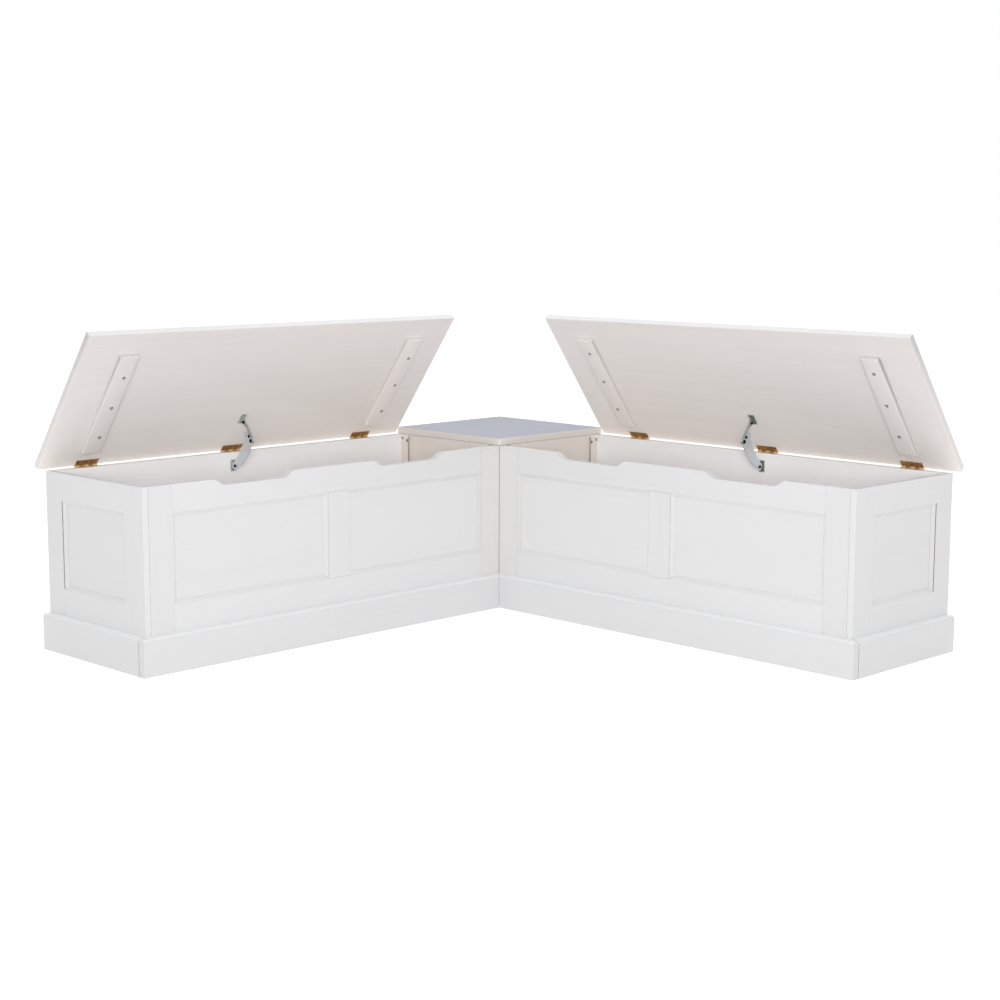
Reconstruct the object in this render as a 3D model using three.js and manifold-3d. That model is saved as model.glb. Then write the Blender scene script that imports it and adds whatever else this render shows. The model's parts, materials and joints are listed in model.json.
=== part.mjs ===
// A corner storage bench in painted pine: two chests with hinged lids that meet at a fixed
// square corner seat. Millimetres, +Z up. The inner corner, where the two fronts meet, is the
// construction point: the left wing runs from it along -Y and the right wing along +X.
// The right wing is the left one mirrored on the bench's diagonal.

import * as THREE from "three";
import { mergeVertices } from "three/addons/utils/BufferGeometryUtils.js";
import Module from "manifold-3d";

const wasm = await Module();
wasm.setup();

// Carcass
const carcassHeight = 430;
const carcassDepth = 398;
const wingLength = 1126;
const boardThickness = 18;
const floorThickness = 12;
const floorHeight = 62;
const postSide = 40;
const cleatWidth = 27;
const cleatThickness = 6;
const cleatDrop = 4;

// Frame and panel work
const stileWidth = 66;
const endFrontStileWidth = 75;
const endRearStileWidth = 68;
const mullionWidth = 67;
const topRailWidth = 65;
const bottomRailWidth = 92;
const bottomRailTop = 152;
const mouldingWidth = 10;
const recessDepth = 7.5;
const frontPanelThickness = 6;
const endPanelThickness = 4;
const frontBackLip = 5.9;
const endBackLip = 2.9;
const grooveDepth = 6;

// Finger dips in the top edge of each front
const outerDipMargin = 113.7;
const innerDipMargin = 134.7;
const dipFloorWidth = 168;
const dipFlankWidth = 37;
const dipDepth = 16;
const dipShoulderShare = 0.28;
const dipToeShare = 0.42;

// Plinth
const plinthHeight = 88;
const plinthThickness = 19.5;
const plinthRounding = 9;

// Lids and corner seat
const lidOpenDegrees = 53.7;
const lidThickness = 18;
const lidFrontOverhang = 3;
const lidBackOverhang = 4;
const lidEndOverhang = 18;
const lidCornerGap = 5;
const lidSeatGap = 1;
const lidRounding = 2.5;
const cornerTopThickness = 19;

// Battens under each lid
const battenWidth = 50;
const battenThickness = 11;
const battenBackMargin = 46;
const battenFrontMargin = 62;
const innerBattenMargin = 118;
const outerBattenMargin = 126;
const battenRounding = 2;

// Butt hinges
const innerHingeMargin = 135;
const outerHingeMargin = 134;
const hingeLength = 63;
const leafWidth = 19;
const leafThickness = 1.5;
const knuckleRadius = 2.75;
const knuckleCount = 5;
const knuckleGap = 0.25;
const hingePinRadius = 1.3;
const axisBehindLid = 4;

// Lid stays
const stayBeyondMiddle = { left: 16, right: 4 };
const lowerArmLength = 97;
const upperArmLength = 55;
const stayPlate = 2;
const layerGap = 0.4;
const wallPivotReach = 15;
const wallPivotDrop = 34;
const lidPivotAlong = 110;
const lidPivotDrop = 14.2;
const bracketLength = 30;
const bracketWidth = 17;
const bracketPlate = 1.6;
const earRadius = 6.5;
const pivotRadius = 2.2;
const rivetHeadRadius = 4;
const rivetHeadHeight = 1.3;
const elbowPinRadius = 1.8;
const elbowPlay = 3.1;
const elbowHeadRadius = 6.4;
const stopStudBeyond = 3;
const stopStudAside = 12.8;
const lowerEyeRadius = 9.5;
const lowerElbowRadius = 7;
const lowerBelly = 25;
const lowerWaist = 11;
const quadrantAside = 23;
const quadrantShort = 2;
const quadrantRadius = 8.5;
const upperEyeRadius = 5.5;
const upperElbowRadius = 7.6;
const upperBellyOuter = 10.6;
const upperBellyInner = 9.4;

// Clearances and facets
const jointGap = 0.3;
const fitGap = 0.3;
const cutOverrun = 2;
const roundSides = 20;
const arcSides = 8;
const dipSides = 7;

// Sizes that follow from the ones above
const frontThickness = recessDepth + frontPanelThickness + fitGap * 2 + frontBackLip;
const endThickness = recessDepth + endPanelThickness + fitGap * 2 + endBackLip;
const frontLength = wingLength - endThickness;
const backInner = boardThickness - carcassDepth;
const lidWidth = lidBackOverhang + carcassDepth + lidFrontOverhang;
const lidOuterEnd = wingLength + lidEndOverhang;
const battenPlaces = {
  inner: lidCornerGap + innerBattenMargin,
  outer: lidOuterEnd - outerBattenMargin,
};
const innerHingePlace = lidCornerGap + innerHingeMargin;
const outerHingePlace = lidOuterEnd - outerHingeMargin;
const hingePlaces = {
  inner: innerHingePlace,
  middle: (innerHingePlace + outerHingePlace) / 2,
  outer: outerHingePlace,
};
const axisX = -carcassDepth - lidBackOverhang - axisBehindLid;
const axisZ = carcassHeight + lidSeatGap / 2;
const openAngle = THREE.MathUtils.degToRad(lidOpenDegrees);

const X = new THREE.Vector3(1, 0, 0);
const Y = new THREE.Vector3(0, 1, 0);
const Z = new THREE.Vector3(0, 0, 1);

// Finishes
const finishes = {
  paint: { color: 0xe4e2df, roughness: 0.55, metalness: 0 },
  paintPlinth: { color: 0xdfdcd8, roughness: 0.55, metalness: 0 },
  paintInside: { color: 0xd2c9c0, roughness: 0.65, metalness: 0 },
  paintSeat: { color: 0xc9cbd0, roughness: 0.45, metalness: 0 },
  brass: { color: 0x8a6a32, roughness: 0.35, metalness: 1 },
  zinc: { color: 0x9aa3a8, roughness: 0.4, metalness: 1 },
};

// A named piece with a material of its own.
function piece(name, solid, finish) {
  const shape = solid.getMesh();
  const geometry = new THREE.BufferGeometry();
  geometry.setAttribute("position", new THREE.BufferAttribute(shape.vertProperties, shape.numProp));
  geometry.setIndex(new THREE.BufferAttribute(shape.triVerts, 1));
  geometry.computeVertexNormals();
  const mesh = new THREE.Mesh(geometry, new THREE.MeshStandardMaterial(finishes[finish]));
  mesh.name = name;
  return mesh;
}

// A closed geometry as a solid that can be cut and joined.
function solidOf(geometry) {
  geometry.deleteAttribute("normal");
  geometry.deleteAttribute("uv");
  const merged = mergeVertices(geometry);
  return new wasm.Manifold(
    new wasm.Mesh({
      numProp: 3,
      vertProperties: merged.getAttribute("position").array,
      triVerts: Uint32Array.from(merged.index.array),
    }),
  );
}

// A board between pairs of limits along each axis.
function board([x0, x1], [y0, y1], [z0, z1]) {
  const box = new THREE.BoxGeometry(x1 - x0, y1 - y0, z1 - z0);
  box.translate((x0 + x1) / 2, (y0 + y1) / 2, (z0 + z1) / 2);
  return solidOf(box);
}

// An outline in x and z, given thickness along y from one value up to another.
function plate(shape, [y0, y1], curveSegments = arcSides) {
  const extruded = new THREE.ExtrudeGeometry(shape, { depth: y1 - y0, bevelEnabled: false, curveSegments });
  extruded.applyMatrix4(new THREE.Matrix4().makeBasis(X, Z, Y.clone().negate()));
  extruded.translate(0, y1, 0);
  return solidOf(extruded);
}

// An outline in x and y, raised between two heights.
function prism(points, [z0, z1]) {
  const shape = new THREE.Shape(points.map(([x, y]) => new THREE.Vector2(x, y)));
  const extruded = new THREE.ExtrudeGeometry(shape, { depth: z1 - z0, bevelEnabled: false });
  extruded.translate(0, 0, z0);
  return solidOf(extruded);
}

// A board with all its edges rounded over by the same radius.
function easedBoard([x0, x1], [y0, y1], [z0, z1], rounding) {
  const corners = [
    [x0 + rounding, y0 + rounding],
    [x1 - rounding, y0 + rounding],
    [x1 - rounding, y1 - rounding],
    [x0 + rounding, y1 - rounding],
  ];
  const shape = new THREE.Shape(corners.map(([x, y]) => new THREE.Vector2(x, y)));
  const extruded = new THREE.ExtrudeGeometry(shape, {
    depth: z1 - z0 - rounding * 2,
    bevelThickness: rounding,
    bevelSize: rounding,
    bevelSegments: 3,
  });
  extruded.translate(0, 0, z0 + rounding);
  return solidOf(extruded);
}

// A round bar along y, centred on a point in x and z.
function roundBar(radius, [y0, y1], x = 0, z = 0) {
  const bar = new THREE.CylinderGeometry(radius, radius, y1 - y0, roundSides);
  bar.translate(x, (y0 + y1) / 2, z);
  return solidOf(bar);
}

// The tapered hollow that gives an opening its sloping edge, from the face back to the panel.
function mouldingCutter({ x0, x1, z0, z1 }) {
  const slope = mouldingWidth / recessDepth;
  const outset = cutOverrun * slope;
  const inset = mouldingWidth + outset;
  const rectangle = (grow, y) => [
    [x0 - grow, y, z0 - grow],
    [x1 + grow, y, z0 - grow],
    [x1 + grow, y, z1 + grow],
    [x0 - grow, y, z1 + grow],
  ];
  const near = rectangle(outset, -cutOverrun);
  const far = rectangle(-inset, recessDepth + cutOverrun);
  const geometry = new THREE.BufferGeometry();
  geometry.setAttribute("position", new THREE.Float32BufferAttribute([...near, ...far].flat(), 3));
  const faces = [0, 1, 2, 0, 2, 3, 4, 6, 5, 4, 7, 6];
  for (let i = 0; i < near.length; i += 1) {
    const j = (i + 1) % near.length;
    faces.push(i, i + near.length, j, j, i + near.length, j + near.length);
  }
  geometry.setIndex(faces);
  return solidOf(geometry);
}

// An upright of a frame. Its moulded edge stands towards `side`, between the rails.
function stileShape(outer, edge, side, z0, z1) {
  const lip = edge + side * mouldingWidth;
  const shape = new THREE.Shape();
  shape.moveTo(outer, 0);
  shape.lineTo(edge, 0);
  shape.lineTo(edge, z0);
  shape.lineTo(lip, z0 + mouldingWidth);
  shape.lineTo(lip, z1 - mouldingWidth);
  shape.lineTo(edge, z1);
  shape.lineTo(edge, carcassHeight);
  shape.lineTo(outer, carcassHeight);
  return shape;
}

// The moulded edge of a rail: it follows the openings from left to right at one height and
// stands into each of them by the width of the moulding.
function railEdge(shape, openings, height, into) {
  openings.forEach(({ x0, x1 }, i) => {
    const start = i === 0 ? x0 + jointGap : x0;
    const end = i === openings.length - 1 ? x1 - jointGap : x1;
    shape.lineTo(start, height);
    shape.lineTo(start + mouldingWidth, height + into * mouldingWidth);
    shape.lineTo(end - mouldingWidth, height + into * mouldingWidth);
    shape.lineTo(end, height);
  });
}

// The top rail, drawn from its lower left corner, with any dips in its top edge.
function topRailShape(openings, dips) {
  const left = openings[0].x0 + jointGap;
  const right = openings[openings.length - 1].x1 - jointGap;
  const shape = new THREE.Shape();
  shape.moveTo(left, carcassHeight - topRailWidth);
  railEdge(shape, openings, carcassHeight - topRailWidth, -1);
  shape.lineTo(right, carcassHeight);
  for (const centre of dips.toReversed()) {
    const floor = carcassHeight - dipDepth;
    const reach = dipFloorWidth / 2 + dipFlankWidth;
    const shoulder = reach - dipFlankWidth * dipShoulderShare;
    const toe = dipFloorWidth / 2 + dipFlankWidth * dipToeShare;
    const foot = dipFloorWidth / 2;
    shape.lineTo(centre + reach, carcassHeight);
    shape.bezierCurveTo(centre + shoulder, carcassHeight, centre + toe, floor, centre + foot, floor);
    shape.lineTo(centre - foot, floor);
    shape.bezierCurveTo(centre - toe, floor, centre - shoulder, carcassHeight, centre - reach, carcassHeight);
  }
  shape.lineTo(left, carcassHeight);
  return shape;
}

// The bottom rail, which runs on down behind the plinth.
function bottomRailShape(openings) {
  const left = openings[0].x0 + jointGap;
  const right = openings[openings.length - 1].x1 - jointGap;
  const foot = bottomRailTop - bottomRailWidth;
  const shape = new THREE.Shape();
  shape.moveTo(left, foot);
  railEdge(shape, openings, bottomRailTop, 1);
  shape.lineTo(right, foot);
  return shape;
}

// The upright between two openings. It stands on the face of the panel, which runs on behind it.
function mullionShape(x0, x1) {
  const foot = bottomRailTop + jointGap;
  const head = carcassHeight - topRailWidth - jointGap;
  const shape = new THREE.Shape();
  shape.moveTo(x0, foot);
  shape.lineTo(x1, foot);
  shape.lineTo(x1 + mouldingWidth, foot + mouldingWidth);
  shape.lineTo(x1 + mouldingWidth, head - mouldingWidth);
  shape.lineTo(x1, head);
  shape.lineTo(x0, head);
  shape.lineTo(x0 - mouldingWidth, head - mouldingWidth);
  shape.lineTo(x0 - mouldingWidth, foot + mouldingWidth);
  return shape;
}

// A frame with its panel, standing with its face on y = 0 and its back towards +y, from x = 0.
// `uprights` gives each upright's name, its limits in x and the sides that an opening lies on.
function framedPanel({ prefix, uprights, panelThickness, thickness, dips, names }) {
  const group = new THREE.Group();
  const z0 = bottomRailTop;
  const z1 = carcassHeight - topRailWidth;
  const openings = [];
  for (let i = 0; i + 1 < uprights.length; i += 1) {
    openings.push({ x0: uprights[i].x1, x1: uprights[i + 1].x0, z0, z1 });
  }
  const first = openings[0];
  const last = openings[openings.length - 1];
  const grooveInset = mouldingWidth - grooveDepth;
  const groove = board(
    [first.x0 + grooveInset, last.x1 - grooveInset],
    [recessDepth, recessDepth + panelThickness + fitGap * 2],
    [z0 + grooveInset, z1 - grooveInset],
  );
  const hollow = openings.reduce((cut, opening) => cut.add(mouldingCutter(opening)), groove);
  const add = (name, solid) => group.add(piece(`${prefix}_${name}`, solid.subtract(hollow), "paint"));

  const left = uprights[0];
  const right = uprights[uprights.length - 1];
  add(left.name, plate(stileShape(left.x0, left.x1, 1, z0, z1), [0, thickness]));
  add(right.name, plate(stileShape(right.x1, right.x0, -1, z0, z1), [0, thickness]));
  add(names.topRail, plate(topRailShape(openings, dips), [0, thickness], dipSides));
  add(names.bottomRail, plate(bottomRailShape(openings), [0, thickness]));
  for (const between of uprights.slice(1, -1)) {
    const bar = plate(mullionShape(between.x0, between.x1), [0, recessDepth]);
    group.add(piece(`${prefix}_${between.name}`, bar.subtract(hollow), "paint"));
  }
  const panel = board(
    [first.x0 + grooveInset + fitGap, last.x1 - grooveInset - fitGap],
    [recessDepth + fitGap, recessDepth + fitGap + panelThickness],
    [z0 + grooveInset + fitGap, z1 - grooveInset - fitGap],
  );
  group.add(piece(`${prefix}_${names.panel}`, panel, "paint"));
  return group;
}

// A plinth board along x with its back on y = 0 and its rounded top edge towards -y.
function plinthBoard([x0, x1]) {
  const shape = new THREE.Shape();
  const shoulder = plinthThickness - plinthRounding;
  shape.moveTo(0, 0);
  shape.lineTo(plinthThickness, 0);
  shape.absarc(shoulder, plinthHeight - plinthRounding, plinthRounding, 0, Math.PI / 2);
  shape.lineTo(0, plinthHeight);
  const extruded = new THREE.ExtrudeGeometry(shape, {
    depth: x1 - x0,
    bevelEnabled: false,
    curveSegments: arcSides,
  });
  extruded.applyMatrix4(new THREE.Matrix4().makeBasis(Y.clone().negate(), Z, X.clone().negate()));
  extruded.translate(x1, 0, 0);
  return solidOf(extruded);
}

// The front of a wing, with its plinth. Local x = 0 is the outer end and the inner corner is
// at x = frontLength. The plinth is mitred there, to meet the one of the other wing.
function front(prefix) {
  const mullionMiddle = frontLength / 2;
  const dipReach = dipFloorWidth / 2 + dipFlankWidth;
  const dips = [
    stileWidth + jointGap + outerDipMargin + dipReach,
    frontLength - stileWidth - jointGap - innerDipMargin - dipReach,
  ];
  const group = framedPanel({
    prefix,
    uprights: [
      { name: "front_outer_stile", x0: 0, x1: stileWidth },
      {
        name: "front_mullion",
        x0: mullionMiddle - mullionWidth / 2,
        x1: mullionMiddle + mullionWidth / 2,
      },
      { name: "front_inner_stile", x0: frontLength - stileWidth, x1: frontLength },
    ],
    panelThickness: frontPanelThickness,
    thickness: frontThickness,
    dips,
    names: { topRail: "front_top_rail", bottomRail: "front_bottom_rail", panel: "front_panel" },
  });
  const reach = plinthThickness + cutOverrun;
  const mitre = prism(
    [
      [frontLength - jointGap + cutOverrun, cutOverrun],
      [frontLength - jointGap - reach, -reach],
      [frontLength + cutOverrun * 2, -reach],
      [frontLength + cutOverrun * 2, cutOverrun],
    ],
    [-cutOverrun, plinthHeight + cutOverrun],
  );
  const plinth = plinthBoard([-endThickness - plinthThickness, frontLength]).subtract(mitre);
  group.add(piece(`${prefix}_front_plinth`, plinth, "paintPlinth"));
  group.position.set(0, -frontLength, 0);
  group.rotation.z = Math.PI / 2;
  return group;
}

// The outer end of a wing, with its plinth. Local x = 0 is the back and the front face is
// at x = carcassDepth.
function end(prefix) {
  const group = framedPanel({
    prefix,
    uprights: [
      { name: "end_rear_stile", x0: 0, x1: endRearStileWidth },
      { name: "end_front_stile", x0: carcassDepth - endFrontStileWidth, x1: carcassDepth },
    ],
    panelThickness: endPanelThickness,
    thickness: endThickness,
    dips: [],
    names: { topRail: "end_top_rail", bottomRail: "end_bottom_rail", panel: "end_panel" },
  });
  group.add(piece(`${prefix}_end_plinth`, plinthBoard([0, carcassDepth]), "paintPlinth"));
  group.position.set(-carcassDepth, -wingLength, 0);
  return group;
}

// The back, the divider with its screwed cleat, and the floor of a chest.
function chest(prefix, backEnd) {
  const group = new THREE.Group();
  let back = board([-carcassDepth, backInner], [-frontLength, backEnd], [0, carcassHeight]);
  const leafTop = axisZ - lidSeatGap / 2;
  for (const place of Object.values(hingePlaces)) {
    const half = hingeLength / 2 + fitGap;
    back = back.subtract(
      board(
        [-carcassDepth - cutOverrun, axisX + leafWidth + fitGap],
        [-place - half, -place + half],
        [leafTop - leafThickness - fitGap, carcassHeight + cutOverrun],
      ),
    );
  }
  group.add(piece(`${prefix}_back_panel`, back, "paintInside"));

  const wall = board([backInner, -postSide], [0, boardThickness], [0, carcassHeight]);
  const cleat = board(
    [backInner, backInner + cleatWidth],
    [-cleatThickness, 0],
    [floorHeight + floorThickness, carcassHeight - cleatDrop],
  );
  group.add(piece(`${prefix}_divider`, wall.add(cleat), "paintInside"));

  const floor = board(
    [backInner, -frontThickness],
    [-frontLength, 0],
    [floorHeight, floorHeight + floorThickness],
  );
  group.add(piece(`${prefix}_floor_panel`, floor, "paintInside"));
  return group;
}

// One half of a butt hinge, about an axis along y through the origin. It lies towards +x and
// above the axis plane. `first` says whether it has the end knuckles, and with them the pin.
function hingeLeaf(first) {
  const plateBack = knuckleRadius + knuckleGap * 2;
  const span = hingeLength / knuckleCount;
  const height = [lidSeatGap / 2, lidSeatGap / 2 + leafThickness];
  const whole = [-hingeLength / 2, hingeLength / 2];
  let leaf = board([plateBack, leafWidth], whole, height);
  for (let i = first ? 0 : 1; i < knuckleCount; i += 2) {
    const start = -hingeLength / 2 + i * span + (i === 0 ? 0 : knuckleGap / 2);
    const stop = -hingeLength / 2 + (i + 1) * span - (i === knuckleCount - 1 ? 0 : knuckleGap / 2);
    leaf = leaf.add(roundBar(knuckleRadius, [start, stop]));
    leaf = leaf.add(board([0, plateBack + leafThickness], [start, stop], height));
  }
  if (first) {
    return leaf.add(roundBar(hingePinRadius, whole));
  }
  return leaf.subtract(roundBar(hingePinRadius + fitGap, [-hingeLength, hingeLength]));
}

// A lid with its two battens and the hinge leaves let into it. The group turns on the hinge
// axis, and is drawn with the lid closed.
function lid(prefix) {
  const group = new THREE.Group();
  const back = axisBehindLid;
  const under = lidSeatGap / 2;
  const length = [-lidOuterEnd, -lidCornerGap];
  let slab = easedBoard([back, back + lidWidth], length, [under, under + lidThickness], lidRounding);
  for (const [name, place] of Object.entries(hingePlaces)) {
    const half = hingeLength / 2 + fitGap;
    slab = slab.subtract(
      board(
        [0, leafWidth + fitGap],
        [-place - half, -place + half],
        [under - cutOverrun, under + leafThickness + fitGap],
      ),
    );
    const leaf = piece(`${prefix}_${name}_hinge_lid_leaf`, hingeLeaf(false), "brass");
    leaf.position.y = -place;
    group.add(leaf);
  }
  group.add(piece(`${prefix}_lid`, slab, "paintInside"));

  for (const [name, place] of Object.entries(battenPlaces)) {
    const batten = easedBoard(
      [back + battenBackMargin, back + lidWidth - battenFrontMargin],
      [-place - battenWidth / 2, -place + battenWidth / 2],
      [under - fitGap - battenThickness, under - fitGap],
      battenRounding,
    );
    group.add(piece(`${prefix}_lid_${name}_batten`, batten, "paintInside"));
  }

  const bracket = piece(`${prefix}_stay_lid_bracket`, bracketWith(lidPivotDrop - fitGap, 2), "zinc");
  bracket.position.set(lidPivotAlong, -stayPlace(prefix), under - fitGap);
  bracket.rotation.y = Math.PI;
  group.add(bracket);

  group.position.set(axisX, 0, axisZ);
  group.rotation.y = -openAngle;
  return group;
}

// The half of each hinge that is let into the top edge of the back.
function fixedLeaves(prefix) {
  const group = new THREE.Group();
  for (const [name, place] of Object.entries(hingePlaces)) {
    const leaf = piece(`${prefix}_${name}_hinge_back_leaf`, hingeLeaf(true).mirror([0, 0, 1]), "brass");
    leaf.position.set(axisX, -place, axisZ);
    group.add(leaf);
  }
  return group;
}

// How far along a wing its stay stands from the inner corner.
function stayPlace(prefix) {
  return hingePlaces.middle + stayBeyondMiddle[prefix];
}

// The stay's plates lie side by side: layer 0 is the lower arm, 1 the wall ear and the upper
// arm, and 2 the lid ear. This gives a layer's limits along y.
function layer(index) {
  const start = -stayPlate / 2 + index * (stayPlate + layerGap);
  return [start, start + stayPlate];
}

// A bracket screwed to a face at z = 0: a base, and an ear that stands off it and carries a
// rivet. The rivet goes through the arm in the layer before the ear's own.
function bracketWith(reach, earLayer) {
  const [earNear, earFar] = layer(earLayer);
  const [armNear] = layer(earLayer - 1);
  const base = board(
    [-bracketLength / 2, bracketLength / 2],
    [earFar - bracketWidth / 2, earFar + bracketWidth / 2],
    [0, bracketPlate],
  );
  const ear = new THREE.Shape();
  ear.moveTo(-earRadius, 0);
  ear.lineTo(earRadius, 0);
  ear.lineTo(earRadius, reach);
  ear.absarc(0, reach, earRadius, 0, Math.PI);
  const headNear = armNear - layerGap - rivetHeadHeight;
  return base
    .add(plate(ear, [earNear, earFar]))
    .add(roundBar(pivotRadius, [headNear, earFar], 0, reach))
    .add(roundBar(rivetHeadRadius, [headNear, headNear + rivetHeadHeight], 0, reach));
}

// The wide lower arm, from its pivot at the origin to the elbow at x = lowerArmLength. Beyond
// the elbow it widens to a quadrant, with the stud that stops the stay when the lid is up.
function lowerArm() {
  const [near, far] = layer(0);
  const [, upperFar] = layer(1);
  const length = lowerArmLength;
  const blade = new THREE.Shape();
  blade.moveTo(0, -lowerEyeRadius);
  blade.quadraticCurveTo(length / 2, -lowerBelly, length, -lowerElbowRadius);
  blade.absarc(length, 0, lowerElbowRadius, -Math.PI / 2, 0);
  blade.absarc(length - quadrantShort, quadrantAside, quadrantRadius, 0, (Math.PI * 7) / 6);
  blade.quadraticCurveTo(length / 2, lowerWaist, 0, lowerEyeRadius);
  blade.absarc(0, 0, lowerEyeRadius, Math.PI / 2, (Math.PI * 3) / 2);
  const farHead = upperFar + layerGap;
  return plate(blade, [near, far])
    .subtract(roundBar(pivotRadius + fitGap, [near - cutOverrun, far + cutOverrun]))
    .add(roundBar(elbowPinRadius, [near, farHead + rivetHeadHeight], length, 0))
    .add(roundBar(elbowHeadRadius, [farHead, farHead + rivetHeadHeight], length, 0))
    .add(roundBar(rivetHeadRadius, [near - rivetHeadHeight, near], length, 0))
    .add(roundBar(rivetHeadRadius, [near - rivetHeadHeight, near], length + stopStudBeyond, stopStudAside));
}

// The narrow upper arm, bowed towards the front, from its pivot on the lid at the origin to
// the elbow. Its elbow hole is wide enough for the rivet to wander as the stay folds.
function upperArm() {
  const [near, far] = layer(1);
  const length = upperArmLength;
  const shape = new THREE.Shape();
  shape.moveTo(0, -upperEyeRadius);
  shape.quadraticCurveTo(length / 2, upperBellyInner, length, -upperElbowRadius);
  shape.absarc(length, 0, upperElbowRadius, -Math.PI / 2, Math.PI / 2);
  shape.quadraticCurveTo(length / 2, upperBellyOuter, 0, upperEyeRadius);
  shape.absarc(0, 0, upperEyeRadius, Math.PI / 2, (Math.PI * 3) / 2);
  return plate(shape, [near, far])
    .subtract(roundBar(pivotRadius + fitGap, [near - cutOverrun, far + cutOverrun]))
    .subtract(roundBar(elbowPinRadius + elbowPlay, [near - cutOverrun, far + cutOverrun], length, 0));
}

// The stay's pivots with the lid up, in x and z. The elbow is where the two arms meet, on the
// side that faces the front.
function stayPoints() {
  const wall = new THREE.Vector2(backInner + wallPivotReach, carcassHeight - wallPivotDrop);
  const lidPivot = new THREE.Vector2(lidPivotAlong, lidSeatGap / 2 - lidPivotDrop)
    .rotateAround(new THREE.Vector2(0, 0), openAngle)
    .add(new THREE.Vector2(axisX, axisZ));
  const across = lidPivot.clone().sub(wall);
  const distance = across.length();
  const along = (lowerArmLength ** 2 - upperArmLength ** 2 + distance ** 2) / (distance * 2);
  const aside = Math.sqrt(lowerArmLength ** 2 - along ** 2);
  const way = across.clone().normalize();
  const elbow = new THREE.Vector2(
    wall.x + way.x * along + way.y * aside,
    wall.y + way.y * along - way.x * aside,
  );
  return { wall, lidPivot, elbow };
}

// The two arms and the wall bracket of a stay.
function stay(prefix) {
  const group = new THREE.Group();
  const place = stayPlace(prefix);
  const { wall, lidPivot, elbow } = stayPoints();
  const arms = [
    ["lower", lowerArm(), wall],
    ["upper", upperArm(), lidPivot],
  ];
  for (const [name, solid, from] of arms) {
    const arm = piece(`${prefix}_stay_${name}_arm`, solid, "zinc");
    arm.position.set(from.x, -place, from.y);
    arm.rotation.y = -Math.atan2(elbow.y - from.y, elbow.x - from.x);
    group.add(arm);
  }
  const bracket = piece(`${prefix}_stay_wall_bracket`, bracketWith(wallPivotReach, 1), "zinc");
  bracket.position.set(backInner, -place, carcassHeight - wallPivotDrop);
  bracket.rotation.y = Math.PI / 2;
  group.add(bracket);
  return group;
}

// One wing. `backEnd` is how far its back runs past the inner corner.
function wing(prefix, backEnd) {
  const group = new THREE.Group();
  group.add(front(prefix), end(prefix), chest(prefix, backEnd));
  group.add(lid(prefix), fixedLeaves(prefix), stay(prefix));
  return group;
}

const bench = new THREE.Group();

// The left back runs right into the far corner and the right one butts against it.
bench.add(wing("left", carcassDepth));
const rightWing = wing("right", -backInner);
rightWing.scale.x = -1;
rightWing.rotation.z = Math.PI / 2;
bench.add(rightWing);

// The post that ties both fronts and both dividers together behind the inner corner.
bench.add(piece("corner_post", board([-postSide, 0], [0, postSide], [0, carcassHeight]), "paintInside"));

// The fixed square seat over the corner.
const seatReach = carcassDepth + lidBackOverhang;
const seat = easedBoard(
  [-seatReach, 0],
  [0, seatReach],
  [carcassHeight, carcassHeight + cornerTopThickness],
  lidRounding,
);
bench.add(piece("corner_top", seat, "paintSeat"));

// The origin is on the floor, under the middle of the whole bench as it stands with lids up.
bench.updateMatrixWorld(true);
const extent = new THREE.Box3().setFromObject(bench, true);
const middle = extent.getCenter(new THREE.Vector3());
bench.position.set(-middle.x, -middle.y, -extent.min.z);

export default bench;
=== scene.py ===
import json
import math

import bmesh
import bpy
import numpy as np
from mathutils import Matrix, Vector

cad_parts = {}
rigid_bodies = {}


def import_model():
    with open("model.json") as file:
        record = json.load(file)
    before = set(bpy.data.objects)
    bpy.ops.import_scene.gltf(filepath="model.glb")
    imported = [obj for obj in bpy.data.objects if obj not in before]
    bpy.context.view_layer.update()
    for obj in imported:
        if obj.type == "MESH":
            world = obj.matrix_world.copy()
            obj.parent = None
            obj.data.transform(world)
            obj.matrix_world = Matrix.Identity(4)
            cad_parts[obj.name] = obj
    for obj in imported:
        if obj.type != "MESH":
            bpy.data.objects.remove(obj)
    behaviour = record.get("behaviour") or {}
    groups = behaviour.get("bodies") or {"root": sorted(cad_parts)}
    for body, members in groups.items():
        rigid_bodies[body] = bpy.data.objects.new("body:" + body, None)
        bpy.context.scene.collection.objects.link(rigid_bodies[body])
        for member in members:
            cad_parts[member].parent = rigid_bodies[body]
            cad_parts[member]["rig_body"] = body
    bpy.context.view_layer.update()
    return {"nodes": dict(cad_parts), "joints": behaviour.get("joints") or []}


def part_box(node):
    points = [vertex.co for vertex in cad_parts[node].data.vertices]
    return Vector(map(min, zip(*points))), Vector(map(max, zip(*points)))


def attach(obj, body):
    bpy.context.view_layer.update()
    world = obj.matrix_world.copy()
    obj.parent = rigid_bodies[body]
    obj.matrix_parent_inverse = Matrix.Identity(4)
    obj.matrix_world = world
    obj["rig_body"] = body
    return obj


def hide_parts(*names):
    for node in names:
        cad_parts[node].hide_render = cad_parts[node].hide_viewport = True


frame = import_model()

# The front of each chest: two stiles and two rails of planed pine, tenoned and glued, with a
# mullion planted over the long panel. A slope is worked round each panel, the arrises are
# rubbed down, and all of it has a thin white wash that leaves the grain just showing.

MM = 0.001
stile_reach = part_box("left_front_inner_stile")[1]
INNER_CORNER = np.array([stile_reach.x, stile_reach.y, 0.0]) / MM
WINGS = ("left", "right")
OUT_ALONG = {"left": np.array([0, -1, 0]), "right": np.array([1, 0, 0])}
TO_FRONT = {"left": np.array([1, 0, 0]), "right": np.array([0, -1, 0])}


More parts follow.
